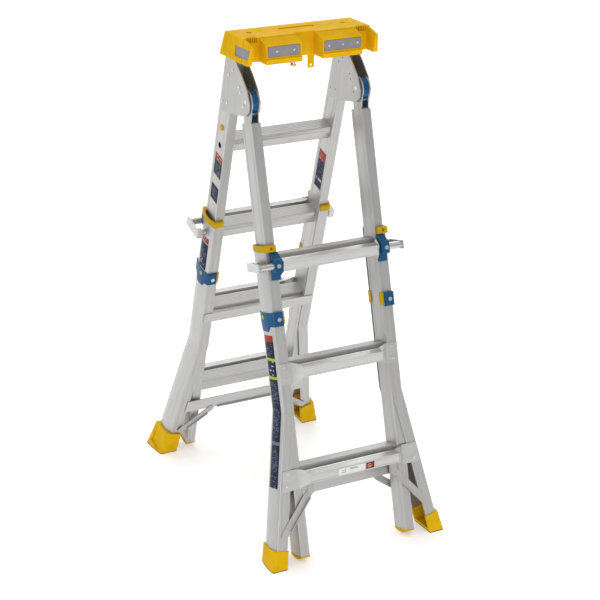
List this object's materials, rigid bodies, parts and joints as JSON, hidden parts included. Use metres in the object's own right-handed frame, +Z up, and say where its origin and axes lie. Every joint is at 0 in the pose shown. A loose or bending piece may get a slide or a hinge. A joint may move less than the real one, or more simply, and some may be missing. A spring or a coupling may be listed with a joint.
{
  "type": "multi-position ladder",
  "caption": "Telescoping aluminium multi-position ladder stood as a step ladder, with a yellow top tray, flared outer legs, yellow feet and blue locking brackets.",
  "frame": {"origin": "on the floor, in the middle of the four feet", "axes": "+Z up, -Y towards the user's side (the front section), +X to the user's right as they face the ladder"},
  "size_m": [0.5846, 0.9348, 1.452],
  "materials": {
    "aluminium": "satin extruded",
    "tray_yellow": "fine grained moulding",
    "guide_yellow": "smooth moulding",
    "boot_yellow": "matt moulded",
    "sole_black": "matt moulded",
    "lock_blue": "satin moulding",
    "release_navy": "satin moulding",
    "polished": "polished",
    "steel": "bright zinc",
    "pad_grey": "matt moulded"
  },
  "bodies": {
    "rear_inner": {"hinge_pins": "steel", "hinge_plate_rivets": "steel", "hinge_plates_left": "aluminium", "hinge_plates_right": "aluminium", "rear_inner_rail_left": "aluminium", "rear_inner_rail_right": "aluminium", "rear_inner_rung_1": "aluminium", "rear_inner_rung_2": "aluminium", "rear_inner_rung_3": "aluminium", "rear_inner_rung_4": "aluminium", "rear_rail_end_caps": "guide_yellow", "tray": "tray_yellow", "tray_pads": "pad_grey", "tray_tool_holders": "tray_yellow"},
    "front_inner": {"front_inner_rail_left": "aluminium", "front_inner_rail_right": "aluminium", "front_inner_rung_1": "aluminium", "front_inner_rung_2": "aluminium", "front_inner_rung_3": "aluminium", "front_rail_end_caps": "guide_yellow", "hinge_arms_left": "aluminium", "hinge_arms_right": "aluminium", "hinge_hub_left": "lock_blue", "hinge_hub_right": "lock_blue"},
    "front_outer": {"front_boot_left": "boot_yellow", "front_boot_right": "boot_yellow", "front_brace_bar": "aluminium", "front_braces": "aluminium", "front_fasteners": "steel", "front_guide_pads": "guide_yellow", "front_lock_brackets": "lock_blue", "front_lower_clamps": "lock_blue", "front_outer_rail_left": "aluminium", "front_outer_rail_right": "aluminium", "front_outer_rung_1": "aluminium", "front_outer_rung_2": "aluminium", "front_outer_rung_3": "aluminium", "front_soles": "sole_black", "front_top_guides": "guide_yellow"},
    "rear_outer": {"rear_boot_left": "boot_yellow", "rear_boot_right": "boot_yellow", "rear_brace_bar": "aluminium", "rear_braces": "aluminium", "rear_fasteners": "steel", "rear_guide_pads": "guide_yellow", "rear_lock_brackets": "lock_blue", "rear_lower_clamps": "lock_blue", "rear_outer_rail_left": "aluminium", "rear_outer_rail_right": "aluminium", "rear_outer_rung_1": "aluminium", "rear_outer_rung_2": "aluminium", "rear_outer_rung_3": "aluminium", "rear_soles": "sole_black", "rear_top_guides": "guide_yellow"},
    "front_handle_left": {"front_lock_handle_left": "polished"},
    "front_handle_right": {"front_lock_handle_right": "polished"},
    "rear_handle_left": {"rear_lock_handle_left": "polished"},
    "rear_handle_right": {"rear_lock_handle_right": "polished"},
    "release_left": {"hinge_release_left": "release_navy"},
    "release_right": {"hinge_release_right": "release_navy"}
  },
  "joints": [
    {"name": "section_hinge", "type": "hinge", "parent": "rear_inner", "child": "front_inner", "pos_m": [0, -0.11524, 1.27623], "axis": [1, 0, 0], "range_deg": [-148, 30]},
    {"name": "front_extend", "type": "slide", "parent": "front_inner", "child": "front_outer", "axis": [0, -0.245, -0.9695], "range_m": [0, 0.6096]},
    {"name": "rear_extend", "type": "slide", "parent": "rear_inner", "child": "rear_outer", "axis": [0, 0.303, -0.953], "range_m": [0, 0.6096]},
    {"name": "front_lock_left", "type": "slide", "parent": "front_outer", "child": "front_handle_left", "axis": [1, 0, 0], "range_m": [0, 0.0115]},
    {"name": "front_lock_right", "type": "slide", "parent": "front_outer", "child": "front_handle_right", "axis": [-1, 0, 0], "range_m": [0, 0.0115]},
    {"name": "rear_lock_left", "type": "slide", "parent": "rear_outer", "child": "rear_handle_left", "axis": [1, 0, 0], "range_m": [0, 0.0115]},
    {"name": "rear_lock_right", "type": "slide", "parent": "rear_outer", "child": "rear_handle_right", "axis": [-1, 0, 0], "range_m": [0, 0.0115]},
    {"name": "release_left_press", "type": "slide", "parent": "front_inner", "child": "release_left", "axis": [0, -0.245, -0.9695], "range_m": [0, 0.006], "stiffness_N_per_m": 300, "springref_m": -0.004},
    {"name": "release_right_press", "type": "slide", "parent": "front_inner", "child": "release_right", "axis": [0, -0.245, -0.9695], "range_m": [0, 0.006], "stiffness_N_per_m": 300, "springref_m": -0.004}
  ]
}
